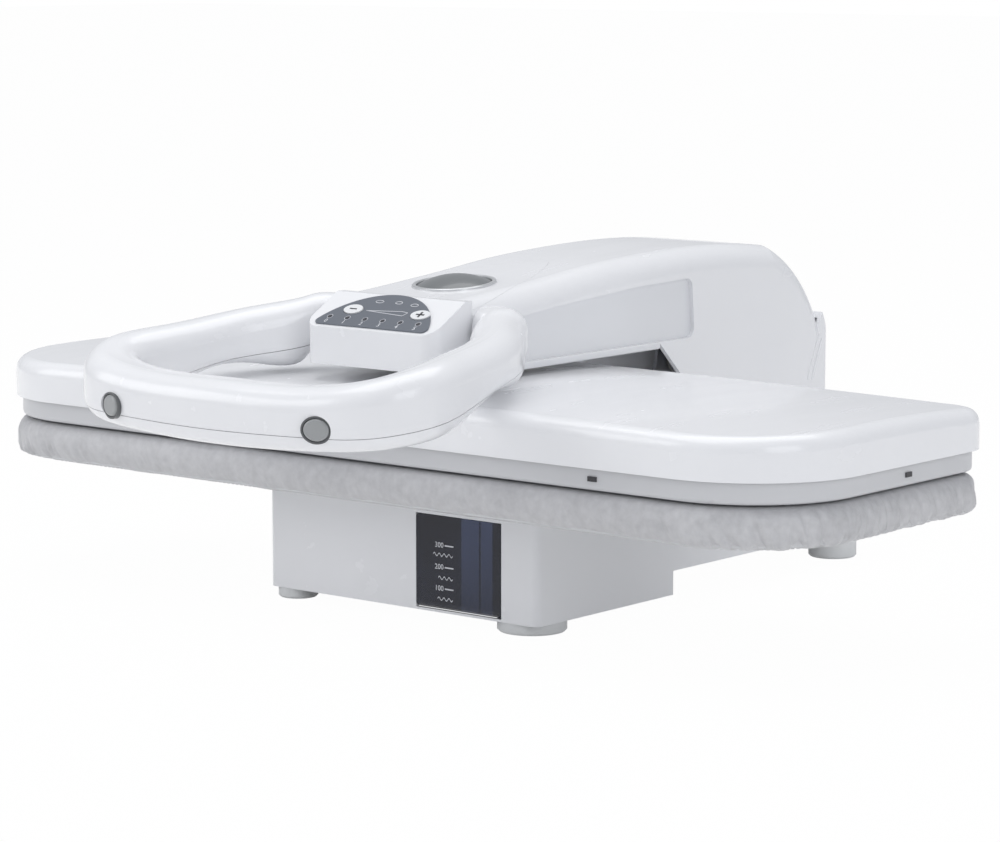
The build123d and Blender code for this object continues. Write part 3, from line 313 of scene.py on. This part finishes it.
def board_outline(step):
    """Points and outward directions round the board's plan, with how tight each stretch is."""
    stations = []

    def straight(start, stop, outward):
        count = max(2, round((stop - start).length / step))
        for i in range(count):
            stations.append((start.lerp(stop, i / count), outward, 0.0))

    def corner(centre, radius, first, count):
        for i in range(count):
            turn = radians(first + 90.0 * i / count)
            outward = Vector((cos(turn), sin(turn), 0))
            stations.append((centre + outward * radius, outward, 1.0))

    front_turns = round(front_round * pi / 2 / step)
    rear_turns = round(rear_round * pi / 2 / (step * 0.7))
    left = -board_half
    right = board_half
    straight(Vector((left + front_round, board_front, 0)), Vector((right - front_round, board_front, 0)),
             Vector((0, -1, 0)))
    corner(Vector((right - front_round, board_front + front_round, 0)), front_round, -90, front_turns)
    straight(Vector((right, board_front + front_round, 0)), Vector((right, board_rear - rear_round, 0)),
             Vector((1, 0, 0)))
    corner(Vector((right - rear_round, board_rear - rear_round, 0)), rear_round, 0, rear_turns)
    straight(Vector((right - rear_round, board_rear, 0)), Vector((left + rear_round, board_rear, 0)),
             Vector((0, 1, 0)))
    corner(Vector((left + rear_round, board_rear - rear_round, 0)), rear_round, 90, rear_turns)
    straight(Vector((left, board_rear - rear_round, 0)), Vector((left, board_front + front_round, 0)),
             Vector((-1, 0, 0)))
    corner(Vector((left + front_round, board_front + front_round, 0)), front_round, 180, front_turns)
    return stations


# inset from the plan, height, share of the gathers
cloth_section = [
    (0.0180, 0.1024, 0.00), (0.0130, 0.1024, 0.03), (0.0095, 0.1023, 0.06), (0.0072, 0.1019, 0.09),
    (0.0052, 0.1010, 0.13), (0.0036, 0.0997, 0.18), (0.0024, 0.0980, 0.24), (0.0016, 0.0960, 0.32),
    (0.0011, 0.0938, 0.42), (0.0008, 0.0915, 0.53), (0.0009, 0.0892, 0.64), (0.0013, 0.0870, 0.74),
    (0.0020, 0.0849, 0.84), (0.0031, 0.0829, 0.93), (0.0046, 0.0811, 1.00), (0.0066, 0.0796, 1.00),
    (0.0090, 0.0785, 0.95), (0.0115, 0.0779, 0.80), (0.0140, 0.0777, 0.55), (0.0165, 0.0778, 0.30),
    (0.0180, 0.0782, 0.15), (0.0186, 0.0787, 0.05), (0.0180, 0.0792, 0.00), (0.0120, 0.0794, 0.00),
    (0.0062, 0.0796, 0.00), (0.0048, 0.0815, 0.00), (0.0044, 0.0900, 0.00), (0.0050, 0.0980, 0.00),
    (0.0090, 0.1008, 0.00), (0.0180, 0.1010, 0.00),
]


def gather(run, height, tight, ends):
    """Depth of the cloth's folds at a place on the plan, from ridged noise slanting with height."""
    lean = run + 0.35 * (height - 0.09) * (1 + 2 * noise.noise(Vector((run * 9, 3.1, 0))))
    broad = noise.noise(Vector((lean * 62, height * 9, 1.7)))
    folds = noise.noise(Vector((lean * 150, height * 22, 8.4)))
    creases = noise.noise(Vector((lean * 420, height * 55, 5.5)))
    ridge = 0.5 - abs(folds) * 1.6
    depth = 0.40 + 0.95 * tight + 0.75 * ends + 0.3 * noise.noise(Vector((run * 24, 0, 2.2)))
    return max(0.12, depth) * (0.0014 * broad + 0.0024 * ridge + 0.0010 * creases)


def cloth_cushion():
    stations = board_outline(0.0013)
    form = bmesh.new()
    runs = [0.0]
    for i in range(1, len(stations)):
        runs.append(runs[-1] + (stations[i][0] - stations[i - 1][0]).length)
    smooth_tight = []
    reach = 24
    for i in range(len(stations)):
        near = [stations[(i + k) % len(stations)][2] for k in range(-reach, reach + 1)]
        smooth_tight.append(sum(near) / len(near))
    rings = []
    spans = []
    span = 0.0
    last = None
    for inset, height, share in cloth_section:
        if last:
            span += ((inset - last[0]) ** 2 + (height - last[1]) ** 2) ** 0.5
        last = (inset, height)
        spans.append(span)
        ring = []
        for (spot, outward, _), run, tight in zip(stations, runs, smooth_tight):
            ends = min(1.0, max(0.0, (abs(spot.x) - 0.23) / 0.06)) * (1.3 if spot.x > 0 else 0.8)
            fold = gather(run, height, tight, ends) * share
            sag = 0.0006 * share * noise.noise(Vector((run * 30, 0, 4.4))) if height < 0.084 else 0.0
            place = spot - outward * max(0.00045, inset - fold)
            ring.append(form.verts.new((place.x, place.y, min(height + sag, 0.1026))))
        rings.append(ring)

    def inner_ring(ring, shares, lift):
        """Rings that close in on the board's long middle line, so the top has a fair net."""
        made = []
        for share in shares:
            raised = lift and share < 0.9
            circle = []
            for vert in ring:
                middle = Vector((max(-0.262, min(0.262, vert.co.x)), -0.0575, vert.co.z))
                place = vert.co.lerp(middle, share)
                bumps = 0.00015 * noise.noise(Vector((place.x * 24, place.y * 24, 6.0))) if raised else 0.0
                circle.append(form.verts.new((place.x, place.y, place.z + bumps)))
            made.append(circle)
        return made

    top = inner_ring(rings[0], (0.12, 0.28, 0.46, 0.64, 0.82, 0.97), True)
    under = inner_ring(rings[-1], (0.5, 0.97), False)
    sequence = top[::-1] + rings + under
    along = form.loops.layers.uv.new("cloth")
    lengths = [-(0.02 * (len(top) - i)) for i in range(len(top))] + spans
    lengths += [spans[-1] + 0.02 * (i + 1) for i in range(len(under))]
    count = len(stations)
    for r in range(len(sequence) - 1):
        for i in range(count):
            j = (i + 1) % count
            face = form.faces.new((sequence[r][i], sequence[r + 1][i], sequence[r + 1][j], sequence[r][j]))
            face.smooth = True
            step_run = runs[j] if j else runs[-1] + 0.0013
            corners = ((runs[i], lengths[r]), (runs[i], lengths[r + 1]),
                       (step_run, lengths[r + 1]), (step_run, lengths[r]))
            for loop, uv in zip(face.loops, corners):
                loop[along].uv = uv
    for ring in (sequence[0], sequence[-1]):
        form.faces.new(ring)
    bmesh.ops.triangulate(form, faces=[face for face in form.faces if len(face.verts) > 4])
    bmesh.ops.recalc_face_normals(form, faces=form.faces)
    mesh = bpy.data.meshes.new("board_cushion")
    form.to_mesh(mesh)
    form.free()
    made = bpy.data.objects.new("board_cushion", mesh)
    bpy.context.scene.collection.objects.link(made)
    return made


coated = Recipe("coated_cloth")
cloth_place = coated.place("UV")
warp = coated.add(
    "ShaderNodeTexWave", {"bands_direction": "X"}, {"Vector": cloth_place, "Scale": 420.0, "Distortion": 0.6})
weft = coated.add(
    "ShaderNodeTexWave", {"bands_direction": "Y"}, {"Vector": cloth_place, "Scale": 420.0, "Distortion": 0.6})
# Crush noise is the cloth's crushed grain, and it also drives the bump and roughness. In the colour it and
# the broad patch noise paint shine: lighter and darker streaks of painted reflection stand in for the coated
# cloth's mottled glints.
crush_and_shine = coated.speckle(210.0, 5.0)
shine_patches = coated.speckle(36.0, 4.0)
coated_cloth = coated.skin({
    # Base colour: painted shine, mixed from the crush noise and the shine patches, between a darker and a
    # lighter silver-grey.
    "Base Color": coated.tint(0.65 * crush_and_shine + 0.35 * shine_patches, (0.40, 0.40, 0.415), (0.74, 0.74, 0.755)),
    "Metallic": 0.25,
    "Roughness": 0.5 + (crush_and_shine - 0.5) * 0.3,
    "Sheen Weight": 0.2,
    "Normal": coated.relief(warp * 0.5 + weft * 0.5 + crush_and_shine * 1.4, 0.5, 0.00022),
})
cushion = cloth_cushion()
cushion.data.materials.append(coated_cloth)
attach(cushion, "base")
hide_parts("board_cloth", "board_foam")

# Hem stitches: a running stitch in grey thread round the hem, under the board
thread = Recipe("grey_thread")
twist = thread.speckle(2400.0, 2.0)
grey_thread = thread.skin({
    "Base Color": thread.tint(twist, (0.62, 0.62, 0.64), (0.80, 0.80, 0.82)),
    "Roughness": 0.8 + twist * 0.1,
})


def stitch_tree(finish):
    """Places one flat stitch at even steps along a closed line of edges."""
    tree = bpy.data.node_groups.new("running_stitch", "GeometryNodeTree")
    sockets = {}
    tree.interface.new_socket("Line", in_out="INPUT", socket_type="NodeSocketGeometry")
    for label, value in (("Pitch", 0.0034), ("Length", 0.0022), ("Width", 0.0006)):
        made = tree.interface.new_socket(label, in_out="INPUT", socket_type="NodeSocketFloat")
        made.default_value = value
        sockets[label] = made.identifier
    tree.interface.new_socket("Stitches", in_out="OUTPUT", socket_type="NodeSocketGeometry")
    nodes = tree.nodes
    links = tree.links
    source = nodes.new("NodeGroupInput")
    result = nodes.new("NodeGroupOutput")
    curve = nodes.new("GeometryNodeMeshToCurve")
    even = nodes.new("GeometryNodeResampleCurve")
    even.mode = "LENGTH"
    tangent = nodes.new("GeometryNodeInputTangent")
    facing = nodes.new("FunctionNodeAlignRotationToVector")
    facing.axis = "X"
    size = nodes.new("ShaderNodeCombineXYZ")
    stitch = nodes.new("GeometryNodeMeshCube")
    copies = nodes.new("GeometryNodeInstanceOnPoints")
    real = nodes.new("GeometryNodeRealizeInstances")
    paint = nodes.new("GeometryNodeSetMaterial")
    paint.inputs["Material"].default_value = finish
    links.new(source.outputs["Line"], curve.inputs["Mesh"])
    links.new(curve.outputs["Curve"], even.inputs["Curve"])
    links.new(source.outputs["Pitch"], even.inputs["Length"])
    links.new(tangent.outputs[0], facing.inputs["Vector"])
    links.new(source.outputs["Length"], size.inputs["X"])
    links.new(source.outputs["Width"], size.inputs["Y"])
    links.new(source.outputs["Width"], size.inputs["Z"])
    links.new(size.outputs[0], stitch.inputs["Size"])
    links.new(even.outputs["Curve"], copies.inputs["Points"])
    links.new(stitch.outputs["Mesh"], copies.inputs["Instance"])
    links.new(facing.outputs[0], copies.inputs["Rotation"])
    links.new(copies.outputs["Instances"], real.inputs["Geometry"])
    links.new(real.outputs["Geometry"], paint.inputs["Geometry"])
    links.new(paint.outputs["Geometry"], result.inputs["Stitches"])
    return tree, sockets


hem_line = bpy.data.meshes.new("hem_line")
hem_points = [spot - outward * 0.0148 + Vector((0, 0, 0.0775)) for spot, outward, _ in board_outline(0.004)]
hem_edges = [(i, (i + 1) % len(hem_points)) for i in range(len(hem_points))]
hem_line.from_pydata(hem_points, hem_edges, [])
hem = bpy.data.objects.new("hem_line", hem_line)
bpy.context.scene.collection.objects.link(hem)
stitching, stitch_inputs = stitch_tree(grey_thread)
sewing = hem.modifiers.new("sewing", "NODES")
sewing.node_group = stitching
sewing[stitch_inputs["Pitch"]] = 0.0036
bpy.context.view_layer.update()
hem_mesh = bpy.data.meshes.new_from_object(hem.evaluated_get(bpy.context.evaluated_depsgraph_get()))
bpy.data.objects.remove(hem)
hem_stitches = bpy.data.objects.new("hem_stitches", hem_mesh)
bpy.context.scene.collection.objects.link(hem_stitches)
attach(hem_stitches, "base")

# Head: gloss white lid over a satin grey tray, with dark clips in the tray's rim
rim_grey = moulded("rim_grey", (0.66, 0.665, 0.68), (0.61, 0.615, 0.63), 0.4, grain=0.00004)
dress(white_gloss, "head_cover")
dress(rim_grey, "heater_housing")
dress(dark_plastic, "rim_clips")

# Heating plate and what is fixed on it: ground cast aluminium, a steel-sheathed element
cast_aluminium = metal("cast_aluminium", (0.62, 0.63, 0.65), (0.74, 0.75, 0.77), 0.3)
dress(cast_aluminium, "heating_plate", "steam_chamber", "plate_pillars")
dress(spring_steel, "heating_element", "pressure_springs")
dress(zinc_steel, "head_bracket", "guide_post_nuts", "head_cover_screws", "arm_frame", "tray_screws")
dress(zinc_steel, "handle_core")
dress(dark_plastic, "thermostat", "steam_switches", "dome_switch")

# Arm: white gloss upper shell and rear cover, satin side panels and underside tray
arm_side_white = moulded("arm_side_white", (0.83, 0.84, 0.86), (0.80, 0.81, 0.835), 0.34, coat=0.15)
dress(white_gloss, "arm_cover", "control_fascia", "rear_cover")
dress(arm_side_white, "arm_side_panel_left", "arm_side_panel_right", "arm_tray")

# Rear cheek ridges: two slim ribs that slant down each side of the rear cover
# They are moulded with the cover, run side by side just behind its seam with the arm, and stand
# seven tenths of a millimetre proud.
def cheek_rib(name, side, start, stop, width, height):
    """Half-round rib between two (y, z) places on a cheek's flat side, sunk a little in it."""
    face_x = side * arm_half_width
    along = Vector((0, stop[0] - start[0], stop[1] - start[1]))
    length = along.length
    along.normalize()
    across = Vector((0, -along.z, along.y))
    form = bmesh.new()
    rings = []
    for share, swell in ((0.0, 0.0), (0.02, 0.5), (0.06, 0.85), (0.12, 1.0), (0.5, 1.0), (0.88, 1.0),
                         (0.94, 0.85), (0.98, 0.5), (1.0, 0.0)):
        middle = Vector((face_x, start[0], start[1])) + along * (length * share)
        ring = []
        for k in range(12):
            turn = 2 * pi * k / 12
            ring.append(form.verts.new(middle + across * (cos(turn) * width / 2 * max(swell, 0.04))
                                       + Vector((side * sin(turn) * height * max(swell, 0.04), 0, 0))))
        rings.append(ring)
    for low, high in zip(rings, rings[1:]):
        for k in range(12):
            form.faces.new((low[k], low[(k + 1) % 12], high[(k + 1) % 12], high[k])).smooth = True
    form.faces.new(rings[0])
    form.faces.new(rings[-1])
    bmesh.ops.recalc_face_normals(form, faces=form.faces)
    mesh = bpy.data.meshes.new(name)
    form.to_mesh(mesh)
    form.free()
    mesh.materials.append(white_gloss)
    rib = bpy.data.objects.new(name, mesh)
    bpy.context.scene.collection.objects.link(rib)
    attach(rib, "arm")
    return rib


arm_half_width = 0.0530
for side, hand in ((-1, "left"), (1, "right")):
    for place, top, foot in (("inner", (0.2645, 0.146), (0.2505, 0.114)),
                             ("outer", (0.2675, 0.142), (0.2555, 0.114))):
        rib = cheek_rib("cheek_rib_%s_%s" % (hand, place), side, top, foot, 0.0026, 0.0007)

# Control nose and its label: a printed dark polycarbonate film with white keys
# The film is stuck in a shallow recess of the nose. Six lamps show through its front edge.
label_film = moulded("label_film", (0.155, 0.17, 0.20), (0.125, 0.14, 0.165), 0.34, grain=0.00003)
key_white = moulded("key_white", (0.84, 0.85, 0.86), (0.80, 0.81, 0.82), 0.35)
lamp_lens = moulded("lamp_lens", (0.05, 0.05, 0.06), (0.035, 0.035, 0.045), 0.2, coat=0.4)
dress(white_gloss, "control_nose")
dress(label_film, "control_label")
dress(key_white, "minus_key", "plus_key")
dress(lamp_lens, "indicator_lights")
panel_lean = 29.85
panel_up = Vector((0, cos(radians(panel_lean)), sin(radians(panel_lean))))
panel_out = along_x.cross(panel_up)
panel_middle = Vector((0, -0.1217, 0.187))
film_face = panel_middle + panel_out * 0.00082
key_face = panel_middle + panel_out * 0.00147
black_ink = moulded("black_ink", (0.035, 0.035, 0.04), (0.02, 0.02, 0.025), 0.5)


def outline_stroke(points, width):
    """Closed line of a given width, as one quad per side."""
    quads = []
    for i, (u, v) in enumerate(points):
        s, t = points[(i + 1) % len(points)]
        length = ((s - u) ** 2 + (t - v) ** 2) ** 0.5
        side_u = -(t - v) / length * width / 2
        side_v = (s - u) / length * width / 2
        quads.append([(u - side_u, v - side_v), (s - side_u, t - side_v),
                      (s + side_u, t + side_v), (u + side_u, v + side_v)])
    return quads


def oval(across, up, half_width, half_height, corners):
    """Points round an upright ellipse on the panel."""
    turns = [2 * pi * k / corners for k in range(corners)]
    return [(across + half_width * cos(turn), up + half_height * sin(turn)) for turn in turns]


minus_sign = sheet_mark(
    "minus_sign", [bar(-0.0263, -0.0207, -0.0005, 0.0005)], key_face, along_x, panel_up, 0.00008,
    black_ink, "minus_body")
plus_sign = sheet_mark(
    "plus_sign", [bar(0.0263, 0.0327, -0.0006, 0.0006), bar(0.0288, 0.0302, 0.0006, 0.0027),
                  bar(0.0288, 0.0302, -0.0027, -0.0006)],
    key_face, along_x, panel_up, 0.00008, black_ink, "plus_body")
wedge = outline_stroke([(-0.0135, 0.0002), (0.0165, -0.0020), (0.0185, 0.0014), (0.0140, 0.0022)], 0.0004)
panel_marks = wedge
for middle, width in ((-0.010, 0.0030), (0.005, 0.0026), (0.018, 0.0028)):
    panel_marks += outline_stroke(oval(middle, 0.0108 - abs(middle) * 0.08, width, 0.0013, 14), 0.0004)
lamp_places = [-0.036 + i * 0.014 for i in range(6)]
lamp_row = -0.0085
digit_row = -0.0130
lamp_ring_radius = 0.0019
for lamp_place in lamp_places:
    lamp_ring = oval(lamp_place, lamp_row, lamp_ring_radius, lamp_ring_radius, 18)
    panel_marks += outline_stroke(lamp_ring, 0.00025)
panel_print = sheet_mark(
    "panel_print", panel_marks, film_face, along_x, panel_up, 0.00005, white_ink, "arm")
for i, lamp_place in enumerate(lamp_places):
    digit = numeral(
        "panel_number_%d" % i, str(i), 0.0044, film_face + along_x * lamp_place + panel_up * digit_row,
        along_x, panel_up, white_ink, "arm", centred=True)

# Dome button: smooth grey push dome in a silver ring
dome_grey = moulded("dome_grey", (0.17, 0.18, 0.185), (0.15, 0.16, 0.165), 0.32, coat=0.35)
bezel_silver = Recipe("bezel_silver")
plating = bezel_silver.speckle(40.0, 3.0)
silver = bezel_silver.skin({
    "Base Color": bezel_silver.tint(plating, (0.60, 0.61, 0.62), (0.70, 0.71, 0.72)),
    "Metallic": 0.6,
    "Roughness": 0.25 + plating * 0.08,
})
dress(dome_grey, "dome_button")
dress(silver, "dome_bezel")

# Handle: two gloss white shells round a bent steel tube, with a grey button at each corner
button_grey = moulded("button_grey", (0.36, 0.37, 0.375), (0.32, 0.33, 0.335), 0.36, coat=0.2)
ring_dark = moulded("ring_dark", (0.12, 0.125, 0.13), (0.09, 0.095, 0.1), 0.35)
dress(white_gloss, "handle_upper", "handle_lower")
dress(button_grey, "steam_button_left", "steam_button_right")
dress(ring_dark, "steam_rings")

# Studio: pale floor, white surround, broad soft lamps and the camera
floor_mesh = bpy.data.meshes.new("studio_floor")
reach = 14.0
floor_mesh.from_pydata([(-reach, -reach, -0.0002), (reach, -reach, -0.0002), (reach, reach, -0.0002),
                        (-reach, reach, -0.0002)], [], [(0, 1, 2, 3)])
floor = bpy.data.objects.new("studio_floor", floor_mesh)
bpy.context.scene.collection.objects.link(floor)
paper = Recipe("studio_paper")
paper.skin({"Base Color": (0.9, 0.9, 0.9, 1), "Roughness": 0.9, "Specular IOR Level": 0.0})
path = paper.tree.nodes.new("ShaderNodeLightPath")
glow = paper.tree.nodes.new("ShaderNodeEmission")
glow.inputs["Strength"].default_value = 1.0
seen = Link(paper, path.outputs["Is Camera Ray"])
mirrored = Link(paper, path.outputs["Is Glossy Ray"])
through = Link(paper, path.outputs["Is Transmission Ray"])
blend = paper.add("ShaderNodeMixShader", {}, {0: 0.98 * (seen + mirrored + through)})
paper.tree.links.new(paper.shader.outputs[0], blend.socket.node.inputs[1])
paper.tree.links.new(glow.outputs[0], blend.socket.node.inputs[2])
paper.tree.links.new(blend.socket, paper.tree.nodes["Material Output"].inputs["Surface"])
floor_mesh.materials.append(paper.material)

world = bpy.data.worlds.new("studio_surround")
bpy.context.scene.world = world
world.use_nodes = True
sky = world.node_tree
for old in list(sky.nodes):
    sky.nodes.remove(old)
room = sky.nodes.new("ShaderNodeBackground")
room.inputs["Color"].default_value = (0.93, 0.95, 1.0, 1)
room.inputs["Strength"].default_value = 0.5
backdrop = sky.nodes.new("ShaderNodeBackground")
backdrop.inputs["Color"].default_value = (1, 1, 1, 1)
backdrop.inputs["Strength"].default_value = 1.0
ray = sky.nodes.new("ShaderNodeLightPath")
pick = sky.nodes.new("ShaderNodeMixShader")
out = sky.nodes.new("ShaderNodeOutputWorld")
sky.links.new(ray.outputs["Is Camera Ray"], pick.inputs[0])
sky.links.new(room.outputs[0], pick.inputs[1])
sky.links.new(backdrop.outputs[0], pick.inputs[2])
sky.links.new(pick.outputs[0], out.inputs["Surface"])


def soft_lamp(name, place, target, width, height, power, colour=(1, 1, 1)):
    data = bpy.data.lights.new(name, "AREA")
    data.shape = "RECTANGLE"
    data.size = width
    data.size_y = height
    data.energy = power
    data.color = colour
    lamp = bpy.data.objects.new(name, data)
    lamp.location = place
    lamp.rotation_euler = (Vector(target) - Vector(place)).to_track_quat("-Z", "Y").to_euler()
    bpy.context.scene.collection.objects.link(lamp)
    return lamp


soft_lamp("overhead", (-0.2, 0.1, 1.9), (0, 0, 0.1), 2.2, 1.6, 20.0)
soft_lamp("front_left", (-1.7, -1.6, 1.1), (0, -0.05, 0.1), 1.4, 1.2, 12.5)
soft_lamp("front_right", (2.0, -0.9, 0.9), (0.1, 0, 0.1), 1.0, 1.2, 8.5, (0.97, 0.98, 1.0))

lens = bpy.data.cameras.new("camera")
lens.sensor_width = 36.0
lens.lens = 124.5
lens.clip_end = 60.0
camera = bpy.data.objects.new("camera", lens)
camera.location = (1.3578, -1.6689, 0.410)
camera.rotation_euler = (radians(90 - 7.97), 0, radians(39.33))
bpy.context.scene.collection.objects.link(camera)
bpy.context.scene.camera = camera
bpy.context.scene.view_settings.view_transform = "Standard"
